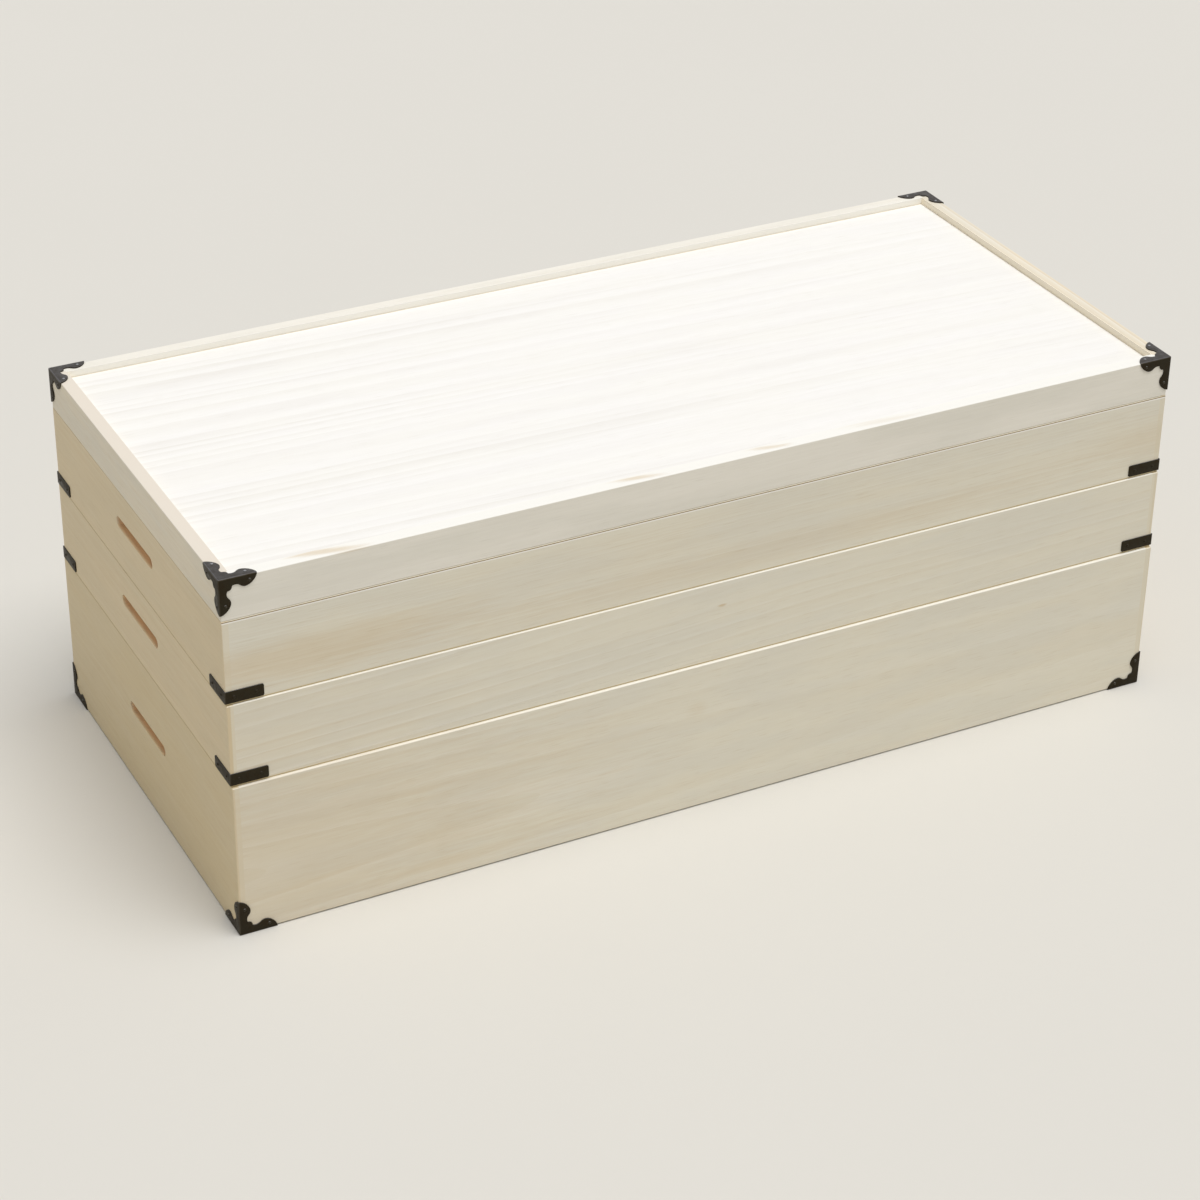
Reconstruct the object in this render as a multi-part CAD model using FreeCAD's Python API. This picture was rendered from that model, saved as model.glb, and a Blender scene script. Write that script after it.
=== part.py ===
import FreeCAD, Part
import math
import os

# Stacking clothing chest of pale paulownia wood: three trays and a lid, with black iron corner fittings.
# Millimetres. Origin at the centre of the footprint on the floor, X along the length, front to -Y, Z up.

os.makedirs("parts", exist_ok=True)
V = FreeCAD.Vector

# Overall wooden sizes
chest_length = 910.0
lid_depth = 412.0
lid_height = 38.0
upper_tray_height = 78.0
middle_tray_height = 78.0
deep_tray_height = 146.5

# How far each tray stands proud, front and back, of the piece that it carries
upper_step = 0.5
middle_step = 1.5
deep_step = 2.6

# Boards
board = 12.0
end_cover = 6.0
arris = 0.9
groove_depth = 5.0
panel_fit = 0.25
tray_panel = 5.0
shallow_panel_lift = 13.0
deep_panel_lift = 8.0
lid_panel = 7.0
lid_tongue = 5.0
lid_recess = 6.2

# Inner lips that key each tray into the piece above
lip_thickness = 5.0
lip_rise = 8.0
lip_seat = 18.0
lip_clearance = 0.5
lip_chamfer = 1.5

# Finger grips routed in the end boards
grip_length = 88.0
grip_height = 11.0
grip_depth = 8.0
shallow_grip_drop = 32.5
deep_grip_drop = 64.0

# Iron plate of all fittings
plate = 1.0
bend_radius = 1.0

# Cloud-shaped corner guard: outline of one face, from the outer corner along each edge
guard_reach = 34.0
guard_tip_full = 5.0
guard_lobe_at = 23.5
guard_lobe_width = 10.6
guard_lobe_full = 4.5
guard_neck_at = 15.0
guard_neck_width = 6.8
guard_nub_far = 11.8
guard_nub_near = 8.8
guard_nub_tip = 10.9

# Straight corner strap of the shallow trays
strap_reach = 34.0
strap_height = 11.0
strap_rise = 2.0
strap_end_radius = 1.5

# Dome-headed nails
nail_shank_radius = 0.6
nail_head_radius = 1.5
nail_head_height = 0.7
nail_length = 6.0
nail_fit = 0.05
guard_nail_along = 26.0
guard_nail_stagger = 0.8
guard_nail_in = 5.5
strap_nail_near = 8.0
strap_nail_far = 27.5

# Worked out from the sizes above
half_length = chest_length / 2
inner_half_length = half_length - board
inner_half_depth = lid_depth / 2 - board
upper_outset = upper_step
middle_outset = upper_outset + middle_step
deep_outset = middle_outset + deep_step
deep_z = plate
middle_z = deep_z + deep_tray_height
upper_z = middle_z + middle_tray_height
lid_z = upper_z + upper_tray_height
lid_top = lid_z + lid_height


def block(x0, x1, y0, y1, z0, z1):
    """A box between two corners."""
    return Part.makeBox(x1 - x0, y1 - y0, z1 - z0, V(x0, y0, z0))


def save(name, shape):
    """Write one node to its STEP file."""
    if not shape.isValid():
        raise ValueError(name + " is not a valid shape")
    shape.exportStep("parts/" + name + ".step")
    print(name, len(shape.Solids), round(shape.Volume))


def prism(points, direction):
    """A polygon of points swept along a vector."""
    wire = Part.makePolygon(points + [points[0]])
    return Part.Face(wire).extrude(direction)


def eased_block(half_depth, z0, height):
    """The outer form of a tray or the lid, with every edge eased."""
    box = block(-half_length, half_length, -half_depth, half_depth, z0, z0 + height)
    return box.makeFillet(arris, box.Edges)


def cut_where_near(shape, tools):
    """Cut from a shape only the tools that reach it."""
    near = [tool for tool in tools if tool.BoundBox.intersect(shape.BoundBox)]
    if near:
        shape = shape.cut(near)
    return shape


def panel_groove(z0, thickness):
    """The room that a panel's edges fill in the boards around it."""
    reach_x = inner_half_length + groove_depth
    reach_y = inner_half_depth + groove_depth
    return block(-reach_x, reach_x, -reach_y, reach_y, z0, z0 + thickness)


def panel(z0, thickness):
    """A thin panel held loose in the groove around it."""
    reach_x = inner_half_length + groove_depth - panel_fit
    reach_y = inner_half_depth + groove_depth - panel_fit
    return block(-reach_x, reach_x, -reach_y, reach_y, z0, z0 + thickness)


def nail(place, inward):
    """A dome-headed nail whose head lies on the place and whose shank runs inward."""
    outline = [
        Part.LineSegment(V(0, 0, -nail_length), V(nail_shank_radius, 0, -nail_length)),
        Part.LineSegment(V(nail_shank_radius, 0, -nail_length), V(nail_shank_radius, 0, 0)),
        Part.LineSegment(V(nail_shank_radius, 0, 0), V(nail_head_radius, 0, 0)),
        Part.Arc(V(nail_head_radius, 0, 0), dome_point(), V(0, 0, nail_head_height)),
        Part.LineSegment(V(0, 0, nail_head_height), V(0, 0, -nail_length)),
    ]
    face = Part.Face(Part.Wire([curve.toShape() for curve in outline]))
    solid = face.revolve(V(0, 0, 0), V(0, 0, 1), 360)
    turn = FreeCAD.Rotation(V(0, 0, -1), inward)
    solid.Placement = FreeCAD.Placement(place, turn)
    return solid


def dome_point():
    """A point halfway along the dome of a nail's head, on one circle with its rim and crown."""
    radius = (nail_head_radius ** 2 + nail_head_height ** 2) / (2 * nail_head_height)
    half_angle = math.asin(nail_head_radius / radius) / 2
    return V(radius * math.sin(half_angle), 0, nail_head_height - radius * (1 - math.cos(half_angle)))


def nail_hole(place, inward):
    """The drilled hole of the nail at the same place, open past the plate's face."""
    start = place - inward * nail_head_height
    length = nail_head_height + nail_length + nail_fit
    return Part.makeCylinder(nail_shank_radius + nail_fit, length, start, inward)


def four_corners(shape, half_x, half_y, z, up):
    """Copies of a corner fitting, drawn in the +X +Y +Z octant, at the four outer corners."""
    copies = {}
    for side_name, side in (("left", -1), ("right", 1)):
        for face_name, face in (("front", -1), ("back", 1)):
            copy = shape.copy()
            if side > 0:
                copy = copy.mirror(V(0, 0, 0), V(1, 0, 0))
            if face > 0:
                copy = copy.mirror(V(0, 0, 0), V(0, 1, 0))
            if not up:
                copy = copy.mirror(V(0, 0, 0), V(0, 0, 1))
            copy.translate(V(side * half_x, face * half_y, z))
            copies[face_name + "_" + side_name] = copy
    return copies


def guard_leaf():
    """One face of a corner guard: a lobed leaf in the XY plane with its corner at the origin."""
    tip = V(guard_reach, 0, 0)
    lobe = V(guard_lobe_at, guard_lobe_width, 0)
    neck = V(guard_neck_at, guard_neck_width, 0)
    nub = V(guard_nub_far, guard_nub_near, 0)
    between = (guard_lobe_at + guard_neck_at) / 2
    curves = [
        [tip, V(guard_reach, guard_tip_full, 0), V(guard_lobe_at + guard_lobe_full, guard_lobe_width, 0), lobe],
        [lobe, V(between, guard_lobe_width, 0), V(between, guard_neck_width, 0), neck],
        [neck, V(guard_nub_far, guard_neck_width, 0), nub],
    ]
    mirrored = [[V(p.y, p.x, 0) for p in reversed(poles)] for poles in reversed(curves)]
    edges = [bezier(poles) for poles in curves]
    edges.append(Part.Arc(nub, V(guard_nub_tip, guard_nub_tip, 0), V(nub.y, nub.x, 0)).toShape())
    edges += [bezier(poles) for poles in mirrored]
    edges.append(Part.makeLine(V(0, guard_reach, 0), V(0, 0, 0)))
    edges.append(Part.makeLine(V(0, 0, 0), tip))
    return Part.Face(Part.Wire(edges)).extrude(V(0, 0, plate))


def bezier(poles):
    """An edge along a Bezier curve."""
    curve = Part.BezierCurve()
    curve.setPoles(poles)
    return curve.toShape()


def corner_bends(reach, edges_wanted):
    """A block in the +X +Y +Z octant whose edges at the origin are rounded as bent plate."""
    box = block(0, reach, 0, reach, 0, reach)
    picked = [edge for edge in box.Edges if edges_wanted(edge.BoundBox)]
    return box.makeFillet(bend_radius, picked)


def guard():
    """Corner guard: three leaves of plate that meet at the outer corner, with rounded bends."""
    flat = guard_leaf()
    front = flat.copy()
    front.rotate(V(0, 0, 0), V(1, 0, 0), 90)
    front.translate(V(0, plate, 0))
    side = flat.copy()
    side.rotate(V(0, 0, 0), V(0, 1, 0), -90)
    side.translate(V(plate, 0, 0))
    folded = flat.fuse([front, side]).removeSplitter()
    return folded.common(corner_bends(2 * guard_reach, meets_at_origin))


def meets_at_origin(box):
    """True for an edge that starts at the origin."""
    near = 1e-3
    return abs(box.XMin) < near and abs(box.YMin) < near and abs(box.ZMin) < near


def strap():
    """Corner strap: two plain legs of plate round a vertical corner, with rounded bend and ends."""
    front = block(0, strap_reach, 0, plate, 0, strap_height)
    ends = [edge for edge in front.Edges if is_leg_end(edge.BoundBox)]
    front = front.makeFillet(strap_end_radius, ends)
    side = front.mirror(V(0, 0, 0), V(1, -1, 0))
    folded = front.fuse(side).removeSplitter()
    return folded.common(corner_bends(2 * strap_reach, is_upright_at_origin))


def is_leg_end(box):
    """True for the two short edges across the plate at a strap leg's end."""
    return box.XLength < 1e-3 and box.ZLength < 1e-3 and box.XMin > strap_reach / 2


def is_upright_at_origin(box):
    """True for the vertical edge at the origin."""
    return box.ZLength > bend_radius and box.XMax < bend_radius and box.YMax < bend_radius


def guard_nail_places(half_x, half_y, z, inward_z, with_flat):
    """Places and directions of the nails in the four guards, one in each lobe of each face.
    Where two faces share an edge, their nails are staggered along it, so that they miss each other."""
    places = []
    long_way = guard_nail_along + guard_nail_stagger
    short_way = guard_nail_along - guard_nail_stagger
    for side in (-1, 1):
        for face in (-1, 1):
            into = V(-side, -face, inward_z)
            into_x = V(into.x, 0, 0)
            into_y = V(0, into.y, 0)
            into_z = V(0, 0, into.z)
            corner = V(side * half_x, face * half_y, z)
            places.append((corner + into_x * long_way + into_z * guard_nail_in, into_y))
            places.append((corner + into_x * guard_nail_in + into_z * short_way, into_y))
            places.append((corner + into_y * short_way + into_z * guard_nail_in, into_x))
            places.append((corner + into_y * guard_nail_in + into_z * long_way, into_x))
            if with_flat:
                places.append((corner + into_x * short_way + into_y * guard_nail_in, into_z))
                places.append((corner + into_x * guard_nail_in + into_y * long_way, into_z))
    return places


def strap_nail_places(half_x, half_y, z):
    """Places and directions of the nails in the four straps, two in each leg."""
    places = []
    for side in (-1, 1):
        for face in (-1, 1):
            for along in (strap_nail_near, strap_nail_far):
                places.append((V(side * (half_x - along), face * half_y, z), V(0, -face, 0)))
                places.append((V(side * half_x, face * (half_y - along), z), V(-side, 0, 0)))
    return places


def save_fittings(prefix, kind, fittings, places):
    """Write a tier's fittings, drilled for their nails, and the nails as one group."""
    holes = [nail_hole(*place) for place in places]
    for corner, shape in fittings.items():
        save(prefix + "_" + kind + "_" + corner, cut_where_near(shape, holes))
    save(prefix + "_nails", Part.makeCompound([nail(*place) for place in places]))
    return holes


def grip_cut(side, z):
    """The finger grip in an end board: a blind groove with round ends."""
    radius = grip_height / 2
    reach = grip_length / 2 - radius
    x0 = side * half_length
    outline = Part.Wire([
        Part.makeLine(V(x0, -reach, z - radius), V(x0, reach, z - radius)),
        Part.Arc(V(x0, reach, z - radius), V(x0, reach + radius, z), V(x0, reach, z + radius)).toShape(),
        Part.makeLine(V(x0, reach, z + radius), V(x0, -reach, z + radius)),
        Part.Arc(V(x0, -reach, z + radius), V(x0, -reach - radius, z), V(x0, -reach, z - radius)).toShape(),
    ])
    return Part.Face(outline).extrude(V(-side * grip_depth, 0, 0))


def save_lips(prefix, top):
    """Write the four strips inside a tray's rim that stand up into the piece above."""
    x0 = inner_half_length
    y0 = inner_half_depth
    relief = lip_clearance
    profile = [
        (0, -lip_seat),
        (lip_thickness, -lip_seat),
        (lip_thickness, lip_rise),
        (relief + lip_chamfer, lip_rise),
        (relief, lip_rise - lip_chamfer),
        (relief, 0),
        (0, 0),
    ]
    for name, face in (("front", -1), ("back", 1)):
        points = [V(-x0, face * (y0 - w), top + z) for w, z in profile]
        strip = prism(points, V(2 * x0, 0, 0))
        for side in (-1, 1):
            end = sorted((side * x0, side * (x0 - relief)))
            strip = strip.cut(block(end[0], end[1], -y0, y0, top, top + lip_rise))
        save(prefix + "_" + name + "_lip", strip)
    y1 = y0 - lip_thickness
    for name, side in (("left", -1), ("right", 1)):
        points = [V(side * (x0 - w), -y1, top + z) for w, z in profile]
        save(prefix + "_" + name + "_lip", prism(points, V(0, 2 * y1, 0)))


def save_tray(prefix, z0, height, outset, panel_lift, grip_drop, holes):
    """Write a tray's boards, bottom panel and lips."""
    half_depth = lid_depth / 2 + outset
    top = z0 + height
    outer = eased_block(half_depth, z0, height)
    groove = panel_groove(z0 + panel_lift, tray_panel)
    cover = half_length - end_cover
    for name, face in (("front", -1), ("back", 1)):
        near, far = sorted((face * inner_half_depth, face * half_depth))
        plank = block(-cover, cover, near, far, z0, top)
        save(prefix + "_" + name, cut_where_near(plank.common(outer).cut(groove), holes))
    for name, side in (("left_end", -1), ("right_end", 1)):
        inner, outside = side * inner_half_length, side * half_length
        x0, x1 = sorted((side * cover, outside))
        full = block(x0, x1, -half_depth, half_depth, z0, top)
        x0, x1 = sorted((inner, side * cover))
        tongue = block(x0, x1, -inner_half_depth, inner_half_depth, z0, top)
        plank = full.fuse(tongue).removeSplitter().common(outer).cut(groove)
        plank = plank.cut(grip_cut(side, top - grip_drop))
        save(prefix + "_" + name, cut_where_near(plank, holes))
    save(prefix + "_bottom", panel(z0 + panel_lift, tray_panel))
    save_lips(prefix, top)


def save_lid(holes):
    """Write the lid's four mitred rails and the sunk panel, whose raised field fills the opening."""
    half_depth = lid_depth / 2
    outer = eased_block(half_depth, lid_z, lid_height)
    under = lid_top - lid_recess - lid_panel
    groove = panel_groove(under, lid_tongue)
    up = V(0, 0, lid_height)
    for name, face in (("front", -1), ("back", 1)):
        rail = prism([
            V(-half_length, face * half_depth, lid_z),
            V(half_length, face * half_depth, lid_z),
            V(inner_half_length, face * inner_half_depth, lid_z),
            V(-inner_half_length, face * inner_half_depth, lid_z),
        ], up)
        save("lid_" + name + "_rail", cut_where_near(rail.common(outer).cut(groove), holes))
    for name, side in (("left", -1), ("right", 1)):
        rail = prism([
            V(side * half_length, -half_depth, lid_z),
            V(side * half_length, half_depth, lid_z),
            V(side * inner_half_length, inner_half_depth, lid_z),
            V(side * inner_half_length, -inner_half_depth, lid_z),
        ], up)
        save("lid_" + name + "_rail", cut_where_near(rail.common(outer).cut(groove), holes))
    field_x = inner_half_length - panel_fit
    field_y = inner_half_depth - panel_fit
    field = block(-field_x, field_x, -field_y, field_y, under, under + lid_panel)
    save("lid_panel", panel(under, lid_tongue).fuse(field).removeSplitter())


def build_chest():
    """Write every piece of the chest, from the floor up."""
    corner_guard = guard()
    corner_strap = strap()
    metal_half_length = half_length + plate

    half_depth = lid_depth / 2 + deep_outset + plate
    guards = four_corners(corner_guard, metal_half_length, half_depth, 0, True)
    places = guard_nail_places(metal_half_length, half_depth, 0, 1, False)
    holes = save_fittings("deep_tray", "guard", guards, places)
    save_tray("deep_tray", deep_z, deep_tray_height, deep_outset, deep_panel_lift, deep_grip_drop, holes)

    shallow = (
        ("middle_tray", middle_z, middle_tray_height, middle_outset),
        ("upper_tray", upper_z, upper_tray_height, upper_outset),
    )
    for prefix, z0, height, outset in shallow:
        half_depth = lid_depth / 2 + outset + plate
        straps = four_corners(corner_strap, metal_half_length, half_depth, z0 + strap_rise, True)
        mid_strap = z0 + strap_rise + strap_height / 2
        places = strap_nail_places(metal_half_length, half_depth, mid_strap)
        holes = save_fittings(prefix, "strap", straps, places)
        save_tray(prefix, z0, height, outset, shallow_panel_lift, shallow_grip_drop, holes)

    half_depth = lid_depth / 2 + plate
    guards = four_corners(corner_guard, metal_half_length, half_depth, lid_top + plate, False)
    places = guard_nail_places(metal_half_length, half_depth, lid_top + plate, -1, True)
    holes = save_fittings("lid", "guard", guards, places)
    save_lid(holes)


build_chest()
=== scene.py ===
import math

import bpy
from bpy.props import FloatProperty, FloatVectorProperty, PointerProperty
from mathutils import Matrix, Vector


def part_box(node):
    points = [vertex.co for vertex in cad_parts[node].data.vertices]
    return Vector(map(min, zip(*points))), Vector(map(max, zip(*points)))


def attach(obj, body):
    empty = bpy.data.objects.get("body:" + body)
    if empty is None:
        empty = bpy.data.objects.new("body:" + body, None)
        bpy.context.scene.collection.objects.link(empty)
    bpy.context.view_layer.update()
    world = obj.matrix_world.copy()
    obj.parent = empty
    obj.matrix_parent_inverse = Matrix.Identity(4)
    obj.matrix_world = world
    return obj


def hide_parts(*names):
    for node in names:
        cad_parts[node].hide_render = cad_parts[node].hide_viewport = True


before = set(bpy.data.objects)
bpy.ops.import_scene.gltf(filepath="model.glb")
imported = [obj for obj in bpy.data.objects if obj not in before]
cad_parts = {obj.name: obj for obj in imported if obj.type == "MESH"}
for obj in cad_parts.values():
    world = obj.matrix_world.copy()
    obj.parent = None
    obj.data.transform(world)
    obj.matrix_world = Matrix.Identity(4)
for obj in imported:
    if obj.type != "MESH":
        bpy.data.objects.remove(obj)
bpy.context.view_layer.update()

bl_info = {
    "name": "Stacking Clothing Chest",
    "version": (1, 0, 0),
    "blender": (4, 5, 0),
    "location": "View3D > Sidebar > Chest",
    "description": "Finishes a stacking clothing chest: paulownia boards, black iron fittings, nails and a plain stage",
    "category": "Object",
}

TRAYS = ("deep_tray", "middle_tray", "upper_tray")
SIDES = (("left", -1), ("right", 1))
FACES = (("front", -1), ("back", 1))

# Two points nearer than the first are merged, and a point nearer than the second to an axis or a plane lies on it
MERGED = 0.00001
TOUCHING = 0.000001

# How often each pattern in the wood repeats in a metre along the board, and in a metre across it
DRIFT = (1.1, 6.0, 6.0)
STREAKS = (2.2, 50.0, 50.0)
FIBRES = (30.0, 380.0, 380.0)
PORES = (45.0, 1500.0, 1500.0)
CLOUDS = (8.0, 36.0, 36.0)
RAGGED = (22.0, 420.0, 420.0)

# The same for the patches and the grit in the lacquer, and for the floor's mottle
PATCHES = (210.0, 210.0, 210.0)
GRIT = (3200.0, 3200.0, 3200.0)
MOTTLE = (3.0, 3.0, 3.0)

# Colours that no setting changes: the palest early wood, the warm tint of the lacquer's shine, a painted reflection of
# a warm floor, and the sky
EARLY_WOOD = (0.97, 0.96, 0.93, 1.0)
WARM_REFLECTION = (1.0, 0.86, 0.62, 1.0)
SKY_COLOUR = (1.0, 0.99, 0.975, 1.0)

# Places along X between which the growth lines of some boards fade
FADE_FROM = -0.40
FADE_TO = 0.05

# Marks below a top edge, as the distances where each starts and where it is full, and the height of a foot mark. On the
# trays the top-edge band and the highlight line are painted highlights, and the shadow line and the foot mark are
# painted shadows in the seams
TOP_EDGE = (0.0009, 0.0003)
HIGHLIGHT_LINE = (0.0027, 0.0021)
SHADOW_LINE = (0.0013, 0.0010)
LAST_LINE = (0.0006, 0.0003)
FOOT_SHADOW = 0.0017

# Finger grips, where the painted shade goes: their middle below the top edge, and the size of the cut with half a
# millimetre to spare
GRIP_DROP = {"deep_tray": 0.064, "middle_tray": 0.0325, "upper_tray": 0.0325}
GRIP_DEPTH = 0.0085
GRIP_HALF_HEIGHT = 0.006
GRIP_HALF_LENGTH = 0.0445

# Darker bands along the outer upright corners of the left end boards: width and strength, of which the right ones have
# a third
CORNER_BANDS = {"deep_tray": (0.0018, 0.5), "middle_tray": (0.0032, 0.8), "upper_tray": (0.0008, 0.3)}

# Warm stains on the front of each tray: where each lies, how far it reaches and how strong it is
WARM_STAINS = {
    "upper_tray": (
        ((-0.385, -0.2065, 0.256), (0.22, 0.05, 0.027), 0.34),
        ((0.05, -0.2065, 0.246), (0.44, 0.05, 0.018), 0.17),
        ((0.46, -0.2065, 0.262), (0.13, 0.05, 0.030), 0.18),
    ),
    "middle_tray": (((-0.50, -0.208, 0.18), (0.36, 0.05, 0.10), 0.14),),
    "deep_tray": (((-0.50, -0.2106, 0.06), (0.50, 0.05, 0.20), 0.30),),
}

# Two small marks, given in the same way: a fleck on the middle tray's front, and a faint spot on the deep tray's
FLECK = ((0.0, -0.208, 0.202), (0.006, 0.05, 0.0022), 0.7)
SPOT = ((-0.022, -0.2106, 0.103), (0.014, 0.05, 0.010), 0.16)

# Soft flames along the top of the lid's front rail, with their slant in degrees
FLAMES = (
    ((-0.362, -0.1990, 0.3415), (0.046, 0.0062, 0.004), 0.50, -9.0),
    ((-0.080, -0.1990, 0.3415), (0.034, 0.0048, 0.004), 0.48, -9.0),
    ((0.045, -0.1990, 0.3415), (0.028, 0.0044, 0.004), 0.40, -10.0),
    ((0.16, -0.1995, 0.3415), (0.055, 0.0060, 0.004), 0.18, -5.0),
)

# Distance from the chest's middle to the faces of the rails that look on the sunk panel
INSIDE_X = 0.443
INSIDE_Y = 0.194

# Height over the plate where a nail's dome starts
DOME_FOOT = 0.00008

# The soft sun shines from its place to its aim. The camera has the photograph's view, with its turn in degrees
SUN_PLACE = (0.54, -1.15, 5.0)
SUN_AIM = (0.0, 0.0, 0.3)
CAMERA_PLACE = (-1.17223, -2.24134, 1.59901)
CAMERA_TURN = (59.2757, -0.6482, -27.0001)


def screen(red, green, blue):
    """A colour picked on screen, 0 to 255 a channel, as the light values that Blender keeps."""
    shares = (red / 255, green / 255, blue / 255)
    return tuple(c / 12.92 if c <= 0.04045 else ((c + 0.055) / 1.055) ** 2.4 for c in shares)


def length(name, description, default):
    """A size in metres that a user may change."""
    return FloatProperty(name=name, description=description, default=default, min=0.0, unit="LENGTH", precision=5)


def share(name, description, default):
    """A strength from 0 to 1 that a user may change."""
    return FloatProperty(name=name, description=description, default=default, min=0.0, max=1.0, subtype="FACTOR")


def colour(name, description, default):
    """A colour that a user may change."""
    return FloatVectorProperty(name=name, description=description, default=default, min=0.0, max=1.0,
                               size=3, subtype="COLOR")


class ChestWood(bpy.types.PropertyGroup):
    """Colours and grain of the paulownia boards."""
    panel: colour("Lid panel", "Planed face of the lid's sunk panel", screen(244, 242, 239))
    rail: colour("Long rails", "Outer faces of the lid's front and back rails", screen(236, 231, 219))
    rail_top: colour("Rail tops", "Planed tops of the long rails", screen(244, 242, 236))
    side_rail: colour("Side rails", "Outer faces of the lid's end rails", screen(235, 225, 203))
    side_top: colour("Side rail tops", "Planed tops of the lid's end rails", screen(226, 217, 204))
    # Painted light: the rails' faces that look on the sunk panel are coloured lighter for the light that the panel
    # throws back on them
    rim_long_painted_light: colour("Long rails inside", "Faces of the long rails that look on the sunk panel", screen(253, 250, 241))
    rim_side_painted_light: colour("Side rails inside", "Faces of the end rails that look on the sunk panel", screen(254, 244, 222))
    front: colour("Long boards", "Planed faces of the trays' front and back boards", screen(229, 223, 205))
    end: colour("End boards", "Planed faces of the upper trays' end boards", screen(225, 208, 174))
    deep_end: colour("Deep end boards", "Planed faces of the deep tray's end boards", screen(219, 202, 165))
    inside: colour("Bottoms and lips", "Faces of the tray bottoms and the inner lips", screen(235, 225, 204))
    warm: colour("Warm streaks", "Late wood of the rings and the warm streaks", screen(206, 182, 142))
    grey: colour("Grey streaks", "Late wood and streaks of the paler boards", screen(212, 206, 194))
    cloud: colour("Clouds", "Soft greyish patches in the boards", screen(220, 216, 203))
    warm_cloud: colour("Warm clouds", "Soft patches in the end boards", screen(218, 203, 171))
    end_grain: colour("End grain", "Sawn ends of boards", screen(225, 218, 199))
    # A darker band along the outer upright corners of the end boards, stronger at the left
    arris: colour("Worn corners", "Corners of the trays darkened by hands", screen(214, 195, 158))
    # Painted highlight: a pale band along the trays' top edges, for the light that falls on them
    top_edge_highlight: colour("Top edges", "Freshly planed top edges of the trays", screen(250, 247, 240))
    # Painted shadow: a dark line for the shade in the gap where the lid shuts on the upper tray
    shut_gap_shadow: colour("Shut line", "Dark line where the lid shuts on the upper tray", screen(124, 96, 30))
    # Painted shadow: a darker band along the bottom edges of the upper trays and round the lid's sunk panel, for the
    # shade in the seams
    seam_shadow: colour("Bottom edges", "Worn bottom edges of the trays and the lid", screen(200, 180, 130))
    # Painted shade: a warmer tint inside the finger grips, for their shade and the warm light thrown about in them
    grip_shade: colour("Routed grips", "Cut wood inside the finger grips", screen(230, 197, 158))
    ring_width: length("Ring width", "Usual distance between two growth rings", 0.0075)
    relief: length("Grain relief", "Height of the raised grain", 0.00006)
    gloss: share("Roughness", "Roughness of the planed faces", 0.52)


class ChestIron(bpy.types.PropertyGroup):
    """Sizes and finish of the lacquered fittings."""
    plate: length("Plate", "Thickness of the iron plate", 0.001)
    bend: length("Bend", "Radius of the folds in the plate", 0.001)
    rim: length("Filed rim", "Width of the filed rounding round each plate", 0.00028)
    reach: length("Guard reach", "Length of a guard's legs from the corner", 0.034)
    lid_share: share("Lid guard size", "Size of the lid's guards against the deep tray's", 0.975)
    tip: length("Guard tip", "Fullness of the tip of a guard's leg", 0.005)
    lobe_at: length("Lobe place", "Distance of a lobe from the corner", 0.0235)
    lobe_width: length("Lobe width", "Width of a leg at its lobe", 0.0106)
    lobe_full: length("Lobe fullness", "How far a lobe stays wide towards the tip", 0.0045)
    neck_at: length("Neck place", "Distance of a neck from the corner", 0.015)
    neck_width: length("Neck width", "Width of a leg at its neck", 0.0071)
    nub_far: length("Nub far side", "Outer end of the nub between two legs", 0.0118)
    nub_near: length("Nub near side", "Inner end of the nub between two legs", 0.0088)
    nub_round: length("Nub handle", "Length of the handles that round the nub's end", 0.00164)
    strap_reach: length("Strap reach", "Length of a strap's legs from the corner", 0.034)
    strap_corner: length("Strap corner", "Rounding of the corners of a strap's legs", 0.0015)
    head_radius: length("Nail head radius", "Radius of a nail's head", 0.0015)
    head_height: length("Nail head height", "Height of a nail's dome over the plate", 0.0007)
    guard_nail_along: length("Guard nail place", "Distance of a nail from the corner, along a leg", 0.026)
    guard_nail_stagger: length("Guard nail stagger", "How far nails that share an edge are set apart", 0.0008)
    guard_nail_in: length("Guard nail inset", "Distance of a nail from the folded edge", 0.0055)
    strap_nail_near: length("First strap nail", "Distance of the first nail from the corner", 0.008)
    strap_nail_far: length("Second strap nail", "Distance of the second nail from the corner", 0.0275)
    lacquer: colour("Lacquer", "Black lacquer on the plates", screen(45, 40, 29))
    thin_lacquer: colour("Thin lacquer", "Browner places where the lacquer is thin", screen(44, 35, 22))
    # Painted sheen: faces that look up take a lighter, cooler colour for the sky they reflect
    upward_sheen: colour("Upward faces", "Faces that look up, dulled by dust and hands", screen(78, 76, 76))
    # Partly wear, partly painted highlight: folds and filed rims take a lighter, shinier lacquer that also stands for
    # the light caught along the folds
    rubbed: colour("Rubbed edges", "Folds and filed edges where the lacquer is rubbed", screen(56, 51, 42))
    # Painted highlight: folds and edges that look up take a lighter, bluish colour for the sky they reflect
    fold_highlight: colour("Upward folds", "Folds and edges that look up", screen(90, 91, 97))
    # Painted glint: the upward parts of the nail heads are coloured light for the light they catch
    nail_glint: colour("Nail crowns", "Upward parts of the nail heads", screen(150, 152, 158))


class ChestStage(bpy.types.PropertyGroup):
    """Floor, sun, sky and camera."""
    floor: colour("Floor", "Colour of the plain floor", screen(217, 214, 207))
    floor_size: length("Floor size", "Side of the square floor", 30.0)
    lamp: FloatProperty(name="Sun", description="Strength of the soft sun above", default=2.34, min=0.0)
    softness: FloatProperty(name="Softness", description="How wide the soft sun looks", default=math.radians(42.0),
                            min=0.0, subtype="ANGLE")
    sky: share("Sky", "Level of the even light from all round", 0.38)
    focal: FloatProperty(name="Focal length", description="Focal length of the camera, in millimetres",
                         default=94.922, min=1.0)


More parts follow.
